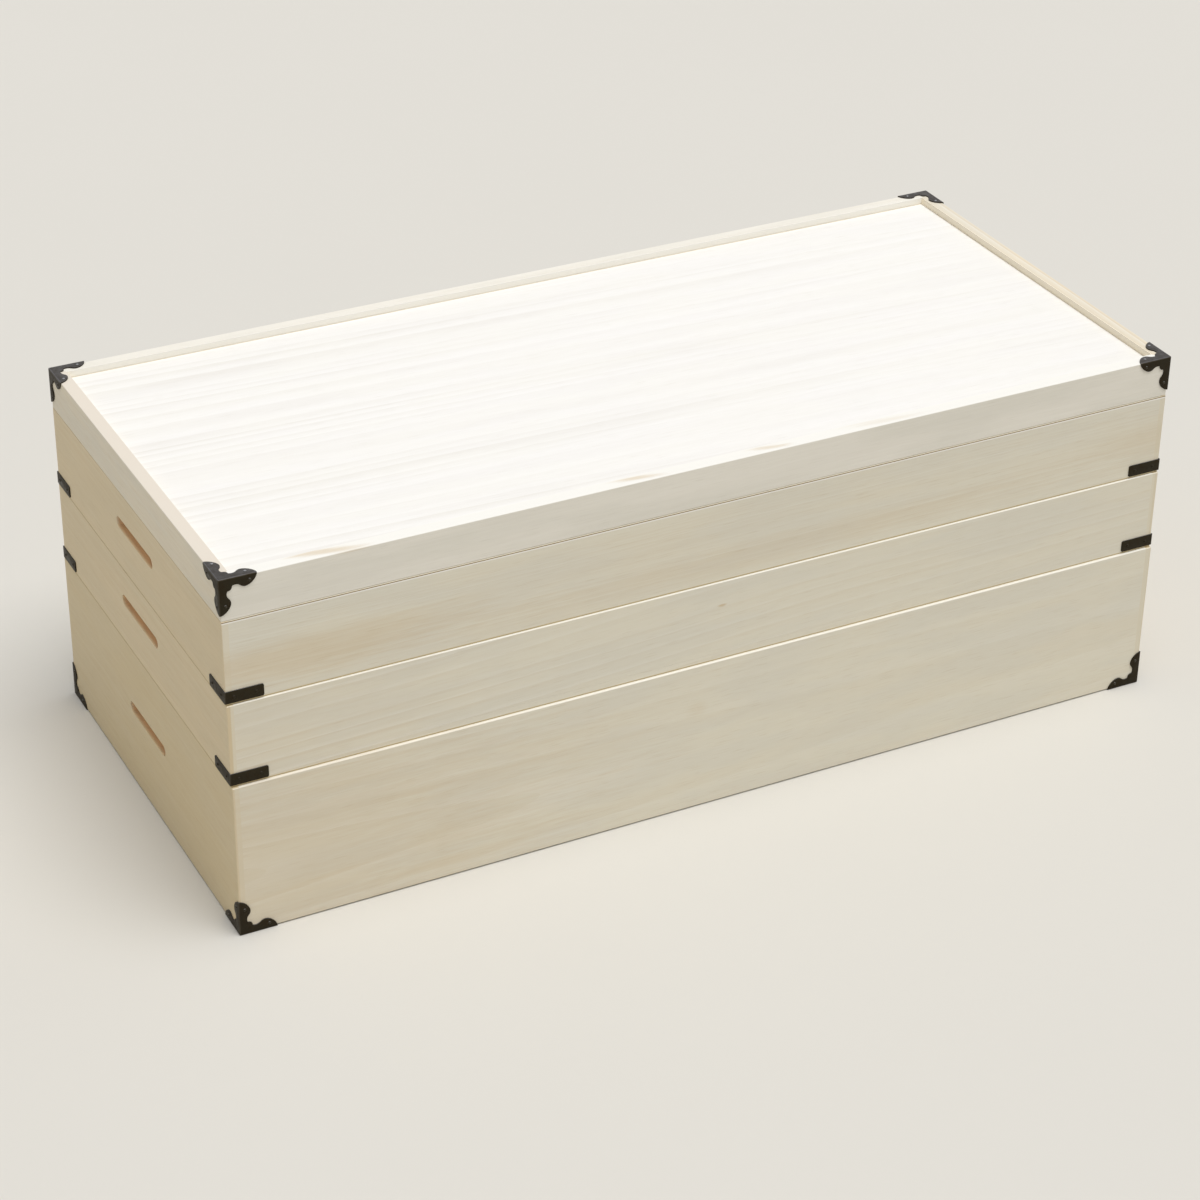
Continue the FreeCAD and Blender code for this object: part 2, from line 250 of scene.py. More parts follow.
def select_only(piece):
    """Make one object the only one selected, and active."""
    if bpy.context.mode != "OBJECT":
        bpy.ops.object.mode_set(mode="OBJECT")
    bpy.ops.object.select_all(action="DESELECT")
    piece.select_set(True)
    bpy.context.view_layer.objects.active = piece


def pick(piece, kind, wanted):
    """Enter edit mode with only those vertices, edges or faces selected that a test picks."""
    select_only(piece)
    bpy.ops.object.mode_set(mode="EDIT")
    bpy.ops.mesh.select_mode(type=kind)
    bpy.ops.mesh.select_all(action="DESELECT")
    bpy.ops.object.mode_set(mode="OBJECT")
    mesh = piece.data
    for item in {"VERT": mesh.vertices, "EDGE": mesh.edges, "FACE": mesh.polygons}[kind]:
        item.select = wanted(item)
    bpy.ops.object.mode_set(mode="EDIT")


def apply_modifier(piece, kind, **settings):
    """Add a modifier to a piece, set it and apply it."""
    select_only(piece)
    bpy.ops.object.modifier_add(type=kind)
    modifier = piece.modifiers[-1]
    for key, value in settings.items():
        setattr(modifier, key, value)
    bpy.ops.object.modifier_apply(modifier=modifier.name)


def turned_copy(master, matrix, name):
    """A copy of a piece with its own mesh, placed by a matrix in the mesh, with its faces outwards."""
    select_only(master)
    bpy.ops.object.duplicate()
    copy = bpy.context.object
    copy.name = name
    copy.data.name = name
    copy.data.transform(matrix)
    if matrix.determinant() < 0:
        bpy.ops.object.mode_set(mode="EDIT")
        bpy.ops.mesh.select_all(action="SELECT")
        bpy.ops.mesh.flip_normals()
        bpy.ops.object.mode_set(mode="OBJECT")
    return copy


def join_up(pieces, name):
    """Join pieces into the first one."""
    select_only(pieces[0])
    for piece in pieces:
        piece.select_set(True)
    bpy.ops.object.join()
    pieces[0].name = name
    pieces[0].data.name = name
    return pieces[0]


def remove(piece):
    """Delete a master piece once its copies are made."""
    select_only(piece)
    bpy.ops.object.delete()


def smooth(piece, degrees):
    """Shade a piece smooth, but for its sharp edges."""
    select_only(piece)
    bpy.ops.object.shade_smooth_by_angle(angle=math.radians(degrees))


def finish_piece(piece, material, body, node, edge=None):
    """Give a new piece its materials and its body, and hide the CAD node that it stands for."""
    for place, wanted in enumerate([material, edge] if edge else [material]):
        if place == len(piece.data.materials):
            piece.data.materials.append(wanted)
        else:
            piece.data.materials[place] = wanted
    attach(piece, body)
    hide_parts(node)


class Graph:
    """Adds shader nodes to a tree and joins them up."""

    def __init__(self, tree):
        self.tree = tree

    def add(self, kind, inputs=(), **settings):
        """Add one node, set it, and link or set its inputs."""
        node = self.tree.nodes.new("ShaderNode" + kind)
        for key, value in settings.items():
            setattr(node, key, value)
        for key, value in dict(inputs).items():
            if isinstance(value, bpy.types.NodeSocket):
                self.tree.links.new(value, node.inputs[key])
            else:
                node.inputs[key].default_value = value
        return node

    def maths(self, operation, first, second=0.0, third=0.0):
        """The result of a sum on one to three values."""
        return self.add("Math", {0: first, 1: second, 2: third}, operation=operation).outputs[0]

    def scaled(self, vector, factors):
        """A vector times three factors."""
        return self.add("VectorMath", {0: vector, 1: factors}, operation="MULTIPLY").outputs[0]

    def noise(self, vector, detail, roughness=0.5):
        """Soft noise over a vector, from about 0 to 1."""
        return self.add("TexNoise", {"Vector": vector, "Scale": 1.0, "Detail": detail, "Roughness": roughness})

    def between(self, value, low, high, start=0.0, end=1.0):
        """A value taken smoothly from one range to another, and held at its ends."""
        inputs = {"Value": value, "From Min": low, "From Max": high, "To Min": start, "To Max": end}
        return self.add("MapRange", inputs, interpolation_type="SMOOTHSTEP").outputs[0]

    def blend(self, amount, first, second, how="MIX"):
        """Two colours blended by an amount."""
        node = self.add("Mix", {0: amount, 6: first, 7: second}, data_type="RGBA", blend_type=how)
        return node.outputs[2]

    def surface(self, inputs):
        """A material's surface, joined to its output."""
        shader = self.add("BsdfPrincipled", inputs)
        self.add("OutputMaterial", {"Surface": shader.outputs[0]})


def new_material(name):
    """An empty material, and the graph that fills it."""
    material = bpy.data.materials.new(name)
    material.use_nodes = True
    material.node_tree.nodes.clear()
    return material, Graph(material.node_tree)


def opaque(rgb):
    """A colour with full alpha."""
    return (*rgb, 1.0)


def grain_group(wood):
    """The solid grain of paulownia, grown round a heart that runs along X, as one node group."""
    tree = bpy.data.node_groups.new("paulownia_grain", "ShaderNodeTree")
    sockets = (
        ("INPUT", "Vector", ("Place",)),
        ("INPUT", "Color", ("Planed", "Streak", "Cloud")),
        ("INPUT", "Float", ("Wander", "Ring width", "Late from", "Lines", "Streaks")),
        ("OUTPUT", "Color", ("Colour",)),
        ("OUTPUT", "Float", ("Roughness", "Height")),
    )
    for way, kind, names in sockets:
        for name in names:
            tree.interface.new_socket(name=name, in_out=way, socket_type="NodeSocket" + kind)
    g = Graph(tree)
    given = tree.nodes.new("NodeGroupInput")
    place = given.outputs["Place"]

    # Rings wander a little along the board, as in a grown trunk
    drift = g.noise(g.scaled(place, DRIFT), 2.0)
    drift = g.add("VectorMath", {0: drift.outputs["Color"], 1: (0.5, 0.5, 0.5)}, operation="SUBTRACT").outputs[0]
    drift = g.add("VectorMath", {0: drift, "Scale": given.outputs["Wander"]}, operation="SCALE").outputs[0]
    grown = g.add("VectorMath", {0: drift, 1: place}, operation="ADD").outputs[0]
    across = g.scaled(grown, (0.0, 1.0, 1.0))
    radius = g.add("VectorMath", {0: across}, operation="LENGTH").outputs["Value"]
    rings = g.maths("DIVIDE", radius, given.outputs["Ring width"])
    uneven = g.add("TexNoise", {"W": g.maths("MULTIPLY", rings, 0.31), "Scale": 1.0, "Detail": 1.0},
                   noise_dimensions="1D").outputs["Fac"]
    rings = g.maths("MULTIPLY_ADD", uneven, 2.6, rings)
    within = g.maths("FRACT", rings)
    year = g.add("TexWhiteNoise", {"W": g.maths("FLOOR", rings)}, noise_dimensions="1D").outputs["Value"]
    year = g.maths("MULTIPLY_ADD", year, 0.75, 0.25)
    late = g.between(within, given.outputs["Late from"], 0.90)
    late = g.maths("MULTIPLY", late, g.between(within, 0.93, 1.0, 1.0, 0.0))
    late = g.maths("MULTIPLY", late, year)
    early = g.maths("MULTIPLY", g.between(within, 0.0, 0.34, 1.0, 0.0), year)

    # Soft streaks, fine fibres and short pores, all drawn out along the board
    streaks = g.noise(g.scaled(grown, STREAKS), 1.5).outputs["Fac"]
    fibre = g.noise(g.scaled(grown, FIBRES), 3.0, 0.6).outputs["Fac"]
    pores = g.noise(g.scaled(place, PORES), 0.0).outputs["Fac"]
    pores = g.between(pores, 0.64, 0.80)
    cloud = g.noise(g.scaled(place, CLOUDS), 3.0).outputs["Fac"]

    warmth = g.maths("MULTIPLY", late, given.outputs["Lines"])
    warmth = g.maths("MULTIPLY_ADD", g.between(streaks, 0.36, 0.74), given.outputs["Streaks"], warmth)
    shade = g.blend(warmth, given.outputs["Planed"], given.outputs["Streak"])
    shade = g.blend(g.between(cloud, 0.36, 0.64, 0.0, 0.42), shade, given.outputs["Cloud"])
    shade = g.blend(g.maths("MULTIPLY", early, given.outputs["Lines"]), shade, EARLY_WOOD)
    shade = g.blend(g.between(fibre, 0.30, 0.75, 0.0, 0.055), shade, given.outputs["Streak"], "MULTIPLY")
    shade = g.blend(g.maths("MULTIPLY", pores, 0.14), shade, given.outputs["Streak"], "MULTIPLY")

    height = g.maths("MULTIPLY_ADD", late, -0.45, fibre)
    height = g.maths("MULTIPLY_ADD", pores, -0.6, height)
    rough = g.maths("MULTIPLY_ADD", fibre, 0.14, wood.gloss - 0.07)
    out = tree.nodes.new("NodeGroupOutput")
    for name, socket in (("Colour", shade), ("Roughness", rough), ("Height", height)):
        tree.links.new(socket, out.inputs[name])
    return tree


def board_material(name, group, wood, look):
    """Planed paulownia for one board. The look says how the board was cut from its trunk, and its colour."""
    material, g = new_material(name)
    along_y = look["grain"] == "Y"
    seen = g.add("TexCoord").outputs["Object"]
    apart = g.add("SeparateXYZ", {0: seen})
    turn = (0.0, look["rise"], look["slant"] + (math.radians(90) if along_y else 0.0))
    place = g.add("Mapping", {"Vector": seen, "Rotation": turn, "Location": look["heart"]}).outputs[0]
    lines = look["lines"]
    if look["fade"] < 1.0:
        lines = g.between(apart.outputs["X"], FADE_FROM, FADE_TO, lines, lines * look["fade"])
    grain = g.add("Group", {
        "Place": place,
        "Planed": opaque(look["colour"]),
        "Streak": opaque(look["streak"]),
        "Cloud": opaque(look["cloud"]),
        "Wander": look["wander"],
        "Ring width": wood.ring_width * look["rings"],
        "Late from": look["late"],
        "Lines": lines,
        "Streaks": look["streaks"],
    }, node_tree=group)
    shade = grain.outputs["Colour"]

    # Sawn ends look different from planed faces
    normal = g.add("NewGeometry").outputs["Normal"]
    fibres = (0.0, 1.0, 0.0) if along_y else (1.0, 0.0, 0.0)
    facing = g.add("VectorMath", {0: normal, 1: fibres}, operation="DOT_PRODUCT").outputs["Value"]
    sawn = g.between(g.maths("ABSOLUTE", facing), 0.55, 0.90)
    shade = g.blend(g.maths("MULTIPLY", sawn, 0.85), shade, opaque(wood.end_grain))
    for axis, start, full, strength, tint, *only_sawn in look["marks"]:
        mask = g.between(g.maths("ABSOLUTE", apart.outputs[axis]), start, full, 0.0, strength)
        if only_sawn:
            mask = g.maths("MULTIPLY", mask, sawn)
        shade = g.blend(mask, shade, opaque(tint))
    for stain in look["stains"]:
        mask = stain_mask(g, seen, *stain)
        if along_y:
            mask = g.maths("MULTIPLY", mask, sawn)
        shade = g.blend(mask, shade, opaque(wood.warm))
    # Painted shade and warm bounce light inside the finger grips
    if look["grip"]:
        shade = g.blend(grip_shade_mask(g, apart, look["grip"]), shade, opaque(wood.grip_shade))

    bump = g.add("Bump", {"Strength": 0.6, "Distance": wood.relief, "Height": grain.outputs["Height"]})
    g.surface({
        "Base Color": shade,
        "Roughness": grain.outputs["Roughness"],
        "Normal": bump.outputs[0],
        "Specular IOR Level": 0.2,
    })
    return material


def stain_mask(g, seen, centre, reach, strength, slant=0.0):
    """How strongly a soft-edged stain shows at a point: strongest at its centre, and broken up by the fibres."""
    turn = (0.0, 0.0, math.radians(slant))
    off = g.add("Mapping", {"Vector": seen, "Location": centre, "Rotation": turn, "Scale": reach},
                vector_type="TEXTURE").outputs[0]
    far = g.add("VectorMath", {0: off}, operation="LENGTH").outputs["Value"]
    ragged = g.noise(g.scaled(seen, RAGGED), 3.0, 0.6).outputs["Fac"]
    far = g.maths("MULTIPLY_ADD", g.maths("SUBTRACT", ragged, 0.5), 1.1, far)
    return g.between(far, 0.15, 1.0, strength, 0.0)


def grip_shade_mask(g, apart, grip):
    """How strongly the grip's painted shade, warm with light thrown about in the hollow, shows at a point of a finger
    grip, given the board's face and the grip's height.
    """
    face, height = grip
    deep = g.maths("ABSOLUTE", apart.outputs["X"])
    lift = g.maths("ABSOLUTE", g.maths("SUBTRACT", apart.outputs["Z"], height))
    along = g.maths("ABSOLUTE", apart.outputs["Y"])
    mask = g.between(deep, face - 0.0028, face - 0.0003, 1.0, 0.0)
    mask = g.maths("MULTIPLY", mask, g.maths("LESS_THAN", lift, GRIP_HALF_HEIGHT))
    mask = g.maths("MULTIPLY", mask, g.maths("LESS_THAN", along, GRIP_HALF_LENGTH))
    mask = g.maths("MULTIPLY", mask, g.maths("GREATER_THAN", deep, face - GRIP_DEPTH))
    return g.maths("MULTIPLY", mask, 0.85)


def lacquer_material(name, base, second, upward_sheen, rough, shine, relief):
    """Brushed black lacquer over beaten iron, with a painted sheen where it looks up."""
    material, g = new_material(name)
    seen = g.add("TexCoord").outputs["Object"]
    patches = g.noise(g.scaled(seen, PATCHES), 3.0, 0.6).outputs["Fac"]
    shade = g.blend(g.between(patches, 0.45, 0.72, 0.0, 0.8), opaque(base), opaque(second))
    # Painted sheen: faces that look up take a lighter colour for the sky they reflect, broken up by the patches
    up = g.add("SeparateXYZ", {0: g.add("NewGeometry").outputs["Normal"]}).outputs["Z"]
    sheen_mask = g.maths("MULTIPLY", g.between(up, 0.45, 0.95), g.between(patches, 0.2, 0.7, 1.0, 0.6))
    shade = g.blend(sheen_mask, shade, opaque(upward_sheen))
    dents = g.add("TexVoronoi", {"Vector": seen, "Scale": 420.0, "Smoothness": 0.6}, feature="SMOOTH_F1")
    grit = g.noise(g.scaled(seen, GRIT), 2.0).outputs["Fac"]
    height = g.maths("MULTIPLY_ADD", grit, 0.12, dents.outputs["Distance"])
    bump = g.add("Bump", {"Strength": 0.5, "Distance": relief, "Height": height})
    g.surface({
        "Base Color": shade,
        "Roughness": g.between(patches, 0.3, 0.75, rough - 0.06, rough + 0.1),
        "Normal": bump.outputs[0],
        "Specular IOR Level": shine,
        # Warm tint on the shine, a painted reflection of a warm floor
        "Specular Tint": WARM_REFLECTION,
    })
    return material


def shared_grain():
    """The grain group, made at its first use."""
    return bpy.data.node_groups.get("paulownia_grain") or grain_group(bpy.context.scene.chest_wood)


def shared_lacquer():
    """The lacquer of the plates and of their rubbed edges, whose lighter lacquer is partly wear and partly a painted
    highlight, made at their first use.
    """
    iron = bpy.context.scene.chest_iron
    plates = bpy.data.materials.get("black_lacquer") or lacquer_material(
        "black_lacquer", iron.lacquer, iron.thin_lacquer, iron.upward_sheen, rough=0.42, shine=0.08, relief=0.00016)
    edges = bpy.data.materials.get("rubbed_lacquer") or lacquer_material(
        "rubbed_lacquer", iron.rubbed, iron.thin_lacquer, iron.fold_highlight, rough=0.34, shine=0.25, relief=0.00004)
    return plates, edges


def cut(heart, colour_name, rings, grain="X", slant=0.0, rise=0.0, late=0.40, lines=0.12, fade=1.0,
        streaks=0.12, wander=0.016, streak="warm", cloud="cloud", stains=(), grip=None, marks=()):
    """How one board was cut from its trunk, which of the wood's colours it has, and what marks it.
    The heart is the shift that brings the trunk's heart to the X axis, and slant and rise turn the board in
    degrees. Rings is the ring width against the usual one, late the share of a ring where late wood starts, fade
    the share of the lines that is left at the right, and wander how far the rings drift, in metres."""
    wood = bpy.context.scene.chest_wood
    return {
        "heart": heart,
        "colour": tuple(getattr(wood, colour_name)),
        "streak": tuple(getattr(wood, streak)),
        "cloud": tuple(getattr(wood, cloud)),
        "grain": grain,
        "slant": math.radians(slant),
        "rise": math.radians(rise),
        "rings": rings,
        "late": late,
        "lines": lines,
        "fade": fade,
        "streaks": streaks,
        "wander": wander,
        "stains": stains,
        "grip": grip,
        "marks": marks,
    }


def below(top, band, tint, strength):
    """A mark that starts and is full at two distances below a board's top edge."""
    start, full = band
    return ("Z", top - start, top - full, strength, tuple(tint))


def top_mark(node, tint, strength):
    """A mark along the top edge of a board."""
    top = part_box(node)[1].z
    return below(top, TOP_EDGE, tint, strength)


def shut_highlight_and_shadow(node, wood):
    """A painted highlight and a painted shadow along the top edge of the upper tray, where the lid shuts on it: a pale
    line for the lit edge and a dark line for the shade in the gap.
    """
    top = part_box(node)[1].z
    return (
        below(top, HIGHLIGHT_LINE, wood.top_edge_highlight, 0.8),
        below(top, SHADOW_LINE, wood.shut_gap_shadow, 0.95),
        below(top, LAST_LINE, wood.front, 0.85),
    )


def foot_shadow(node, tint, strength):
    """A painted shadow along the bottom edge of a board, for the shade in the seam over the tier below."""
    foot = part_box(node)[0].z
    return ("Z", foot + FOOT_SHADOW, foot + FOOT_SHADOW / 2, strength, tuple(tint))


def rail_painted_light(axis, inside, tint):
    """Painted light over the face of a rail that looks on the sunk panel, for the light that the panel throws back."""
    return (axis, inside + 0.0010, inside + 0.0002, 0.9, tuple(tint))


def panel_edge_shadow(axis, inside, tint, strength):
    """A painted shadow along the sunk panel's edges, for the shade in the gap against the rails."""
    return (axis, inside - 0.0015, inside - 0.0008, strength, tuple(tint))


def dress(node, look):
    """Give a CAD board its own cut of paulownia."""
    material = board_material(node + "_paulownia", shared_grain(), bpy.context.scene.chest_wood, look)
    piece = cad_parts[node]
    for slot in piece.material_slots:
        slot.material = material


class CHEST_OT_long_boards(bpy.types.Operator):
    """Finish the front and back boards of the three trays"""
    bl_idname = "chest.long_boards"
    bl_label = "Long boards"

    def execute(self, context):
        # A board shows pointed figure where the trunk's heart lies behind it, and straight grain where it lies far
        # above or below
        wood = context.scene.chest_wood
        cuts = {
            "upper_tray_front": cut((0.31, 0.30, -0.14), "front", slant=0.6, rise=0.5, rings=0.55, lines=0.11,
                                    streaks=0.10, stains=WARM_STAINS["upper_tray"]),
            "middle_tray_front": cut((1.72, 0.22, 0.20), "front", rise=1.7, rings=1.7, late=0.66, lines=0.24, fade=0.5,
                                     streaks=0.05, wander=0.05, stains=WARM_STAINS["middle_tray"] + (FLECK,)),
            "deep_tray_front": cut((3.64, 0.153, -0.063), "front", slant=-1.15, rise=0.3, rings=1.7, late=0.62,
                                   lines=0.15, fade=0.45, streaks=0.04, wander=0.03,
                                   stains=WARM_STAINS["deep_tray"] + (SPOT,)),
            "upper_tray_back": cut((4.40, -0.28, -0.60), "front", rise=0.5, rings=0.7, lines=0.13, streaks=0.10),
            "middle_tray_back": cut((5.90, -0.20, 0.14), "front", rise=-0.8, rings=1.5, late=0.65, lines=0.2,
                                    streaks=0.07, wander=0.04),
            "deep_tray_back": cut((7.30, -0.165, -0.08), "front", slant=1.3, rise=-0.4, rings=1.6, late=0.65,
                                  lines=0.14, streaks=0.07),
        }
        for node, look in cuts.items():
            # Top edges take a painted highlight, and the upper tray's the painted highlight and shadow where the lid
            # shuts
            look["marks"] = shut_highlight_and_shadow(node, wood) if "upper" in node else (top_mark(node, wood.top_edge_highlight, 0.62),)
            # Bottom edges of the upper trays take a painted shadow of the seam below
            if "deep" not in node:
                look["marks"] += (foot_shadow(node, wood.seam_shadow, 0.95),)
            dress(node, look)
        return {"FINISHED"}


class CHEST_OT_end_boards(bpy.types.Operator):
    """Finish the end boards of the three trays, with the painted shade in their routed finger grips"""
    bl_idname = "chest.end_boards"
    bl_label = "End boards"

    def execute(self, context):
        wood = context.scene.chest_wood
        for number, tray in enumerate(TRAYS):
            for name, side in SIDES:
                node = tray + "_" + name + "_end"
                low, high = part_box(node)
                face = max(-low.x, high.x)
                heart = (0.37 * number + 0.9 * side, -0.545 * side, -0.30 - 0.21 * number)
                width, strength = CORNER_BANDS[tray]
                if side > 0:
                    strength /= 3
                # A darker band along the outer upright corners, a third as strong at the right
                marks = (("X", face - width - 0.0004, face - width + 0.0004, strength, tuple(wood.arris), True),)
                # Top edges take a painted highlight, and the upper tray's the painted highlight and shadow where the
                # lid shuts
                tops = shut_highlight_and_shadow(node, wood) if tray == "upper_tray" else (top_mark(node, wood.top_edge_highlight, 0.8),)
                marks += tuple((*mark, True) for mark in tops)
                # Bottom edges of the upper trays take a painted shadow of the seam below
                if tray != "deep_tray":
                    marks += (foot_shadow(node, wood.seam_shadow, 0.9),)
                dress(node, cut(heart, "deep_end" if tray == "deep_tray" else "end", grain="Y", slant=0.5 * side,
                                rise=0.8 - 0.7 * number, rings=1.4, lines=0.06, streaks=0.07, wander=0.03,
                                cloud="warm_cloud", stains=WARM_STAINS[tray],
                                grip=(face, high.z - GRIP_DROP[tray]), marks=marks))
        return {"FINISHED"}


class CHEST_OT_tray_insides(bpy.types.Operator):
    """Finish the bottom panels and the inner lips of the three trays"""
    bl_idname = "chest.tray_insides"
    bl_label = "Bottoms and lips"

    def execute(self, context):
        for number, tray in enumerate(TRAYS):
            shift = 1.3 * number
            dress(tray + "_bottom", cut((shift, 0.62, 0.10 - 0.2 * number), "inside", slant=0.7, rings=1.6,
                                        lines=0.16, streaks=0.16))
            for name, face in FACES:
                dress(tray + "_" + name + "_lip", cut((shift + face, -0.3 * face, 0.4), "inside", rings=0.7))
            for name, side in SIDES:
                dress(tray + "_" + name + "_lip", cut((shift + side, -0.3 * side, 0.4), "inside", grain="Y",
                                                      rings=0.7))
        return {"FINISHED"}


class CHEST_OT_lid(bpy.types.Operator):
    """Finish the lid's rails and its sunk panel"""
    bl_idname = "chest.lid"
    bl_label = "Lid"

    def execute(self, context):
        wood = context.scene.chest_wood
        cuts = {
            "lid_panel": cut((0.0, 0.75, -0.22), "panel", slant=2.3, rings=2.1, late=0.24, lines=0.30, fade=0.45,
                             streaks=0.14, wander=0.014, streak="grey", cloud="rail_top"),
            "lid_front_rail": cut((2.3, 0.27, -0.62), "rail", rise=0.5, rings=0.8, lines=0.07, streaks=0.08,
                                  streak="grey", stains=FLAMES),
            "lid_back_rail": cut((3.9, -0.30, -0.70), "rail", rise=-0.4, rings=0.8, lines=0.10, streaks=0.10),
            "lid_left_rail": cut((5.2, 0.52, -0.66), "side_rail", grain="Y", rings=0.8, lines=0.06, streaks=0.07),
            "lid_right_rail": cut((6.6, -0.56, -0.60), "side_rail", grain="Y", rings=0.5, lines=0.42, streaks=0.18),
        }
        # The rails' faces that look on the panel take painted light
        long_rim_light = rail_painted_light("Y", INSIDE_Y, wood.rim_long_painted_light)
        side_rim_light = rail_painted_light("X", INSIDE_X, wood.rim_side_painted_light)
        # The sunk panel's edges take a painted shadow of the gap against the rails
        marks = {
            "lid_panel": (panel_edge_shadow("Y", INSIDE_Y, wood.seam_shadow, 0.6), panel_edge_shadow("X", INSIDE_X, wood.seam_shadow, 0.3)),
            "lid_front_rail": (long_rim_light, top_mark("lid_front_rail", wood.rail_top, 0.95)),
            "lid_back_rail": (long_rim_light, top_mark("lid_back_rail", wood.rail_top, 0.3)),
            "lid_left_rail": (side_rim_light, top_mark("lid_left_rail", wood.side_top, 0.95)),
            "lid_right_rail": (side_rim_light, top_mark("lid_right_rail", wood.side_top, 0.2)),
        }
        for node, look in cuts.items():
            look["marks"] = marks[node]
            dress(node, look)
        return {"FINISHED"}


def leaf_points(iron):
    """The outline of a guard's leaf as places and handles: its corner, then up one leg and down the other."""
    middle = (iron.lobe_at + iron.neck_at) / 2
    toward = iron.neck_at + (iron.nub_far - iron.neck_at) * 2 / 3
    rise = iron.neck_width + (iron.nub_near - iron.neck_width) / 3
    leg = [
        ((iron.reach, 0.0), (iron.reach * 2 / 3, 0.0), (iron.reach, iron.tip)),
        ((iron.lobe_at, iron.lobe_width), (iron.lobe_at + iron.lobe_full, iron.lobe_width), (middle, iron.lobe_width)),
        ((iron.neck_at, iron.neck_width), (middle, iron.neck_width), (toward, iron.neck_width)),
        ((iron.nub_far, iron.nub_near), (iron.nub_far, rise), (iron.nub_far, iron.nub_near + iron.nub_round)),
    ]
    other = [((y, x), (d, c), (b, a)) for (x, y), (a, b), (c, d) in reversed(leg)]
    corner = ((0.0, 0.0), (0.0, iron.reach / 3), (iron.reach / 3, 0.0))
    return [corner] + leg + other


def leaf(iron):
    """One flat leaf of a corner guard, its corner at the origin and its legs along X and Y."""
    bpy.ops.object.select_all(action="DESELECT")
    bpy.ops.curve.primitive_bezier_circle_add(radius=iron.reach)
    drawn = bpy.context.object
    drawn.data.resolution_u = 9
    points = leaf_points(iron)
    spline = drawn.data.splines[0]
    spline.bezier_points.add(len(points) - len(spline.bezier_points))
    for knot, (place, before, after) in zip(spline.bezier_points, points):
        knot.handle_left_type = "FREE"
        knot.handle_right_type = "FREE"
        knot.co = (*place, 0.0)
        knot.handle_left = (*before, 0.0)
        knot.handle_right = (*after, 0.0)
    bpy.ops.object.convert(target="MESH")
    bpy.ops.object.mode_set(mode="EDIT")
    bpy.ops.mesh.select_all(action="SELECT")
    bpy.ops.mesh.remove_doubles(threshold=MERGED)
    bpy.ops.mesh.edge_face_add()
    bpy.ops.object.mode_set(mode="OBJECT")
    return bpy.context.object


def on_axis(point):
    """How many of a point's coordinates are nothing."""
    return sum(abs(c) < TOUCHING for c in point)


def face_outwards(piece, way):
    """Make a sheet's faces agree, with its lowest flat face looking a given way."""
    pick(piece, "FACE", lambda face: True)
    bpy.ops.mesh.normals_make_consistent(inside=False)
    bpy.ops.object.mode_set(mode="OBJECT")
    first = max(piece.data.polygons, key=lambda face: abs(face.normal.dot(way)) * face.area)
    if first.normal.dot(way) < 0:
        pick(piece, "FACE", lambda face: True)
        bpy.ops.mesh.flip_normals()
        bpy.ops.object.mode_set(mode="OBJECT")


def fold(sheet, iron, wanted):
    """Round those edges of a sheet that a test picks, and mark the bends for the rubbed lacquer, which is partly wear
    and partly a painted highlight.
    """
    sheet.data.materials.clear()
    sheet.data.materials.append(None)
    sheet.data.materials.append(None)
    pick(sheet, "EDGE", wanted)
    bpy.ops.mesh.bevel(offset=iron.bend, segments=4, profile=0.5, affect="EDGES", material=1)
    bpy.ops.object.mode_set(mode="OBJECT")


def thicken(piece, iron):
    """Turn a folded sheet into plate, with its rim filed round and given the rubbed lacquer, which is partly wear and
    partly a painted highlight.
    """
    apply_modifier(piece, "SOLIDIFY", thickness=iron.plate, offset=-1.0, use_even_offset=True)
    apply_modifier(piece, "BEVEL", width=iron.rim, segments=2, limit_method="ANGLE",
                   angle_limit=math.radians(50), material=1, use_clamp_overlap=True)
    smooth(piece, 35)


def outer_corner(low, high, face, side, height):
    """The upright outer corner of a fitting's box, at a height."""
    return Vector((low.x if side < 0 else high.x, low.y if face < 0 else high.y, height))


def guard_master(iron):
    """One corner guard folded from three leaves, in the octant of +X, +Y and +Z, its corner at the origin."""
    flat = leaf(iron)
    front = turned_copy(flat, Matrix.Rotation(math.radians(90), 4, "X"), "leaf_front")
    side = turned_copy(flat, Matrix.Rotation(math.radians(-90), 4, "Y"), "leaf_side")
    sheet = join_up([flat, front, side], "guard_master")
    pick(sheet, "VERT", lambda vertex: True)
    bpy.ops.mesh.remove_doubles(threshold=MERGED)
    face_outwards(sheet, Vector((0, 0, -1)))
    ends = sheet.data.vertices
    fold(sheet, iron, lambda edge: all(on_axis(ends[v].co) >= 2 for v in edge.vertices))
    thicken(sheet, iron)
    return sheet


class CHEST_OT_guards(bpy.types.Operator):
    """Fold the cloud-shaped guards for the corners of the lid and of the deep tray"""
    bl_idname = "chest.guards"
    bl_label = "Corner guards"

    def execute(self, context):
        iron = context.scene.chest_iron
        master = guard_master(iron)
        plates, edges = shared_lacquer()
        for body in ("deep_tray", "lid"):
            for face_name, face in FACES:
                for side_name, side in SIDES:
                    node = body + "_guard_" + face_name + "_" + side_name
                    low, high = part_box(node)
                    corner = outer_corner(low, high, face, side, high.z if body == "lid" else low.z)
                    size = iron.lid_share if body == "lid" else 1.0
                    turn = Matrix.Diagonal((-side * size, -face * size, -size if body == "lid" else size, 1))
                    piece = turned_copy(master, Matrix.Translation(corner) @ turn, node + "_plate")
                    finish_piece(piece, plates, body, node, edges)
        remove(master)
        return {"FINISHED"}


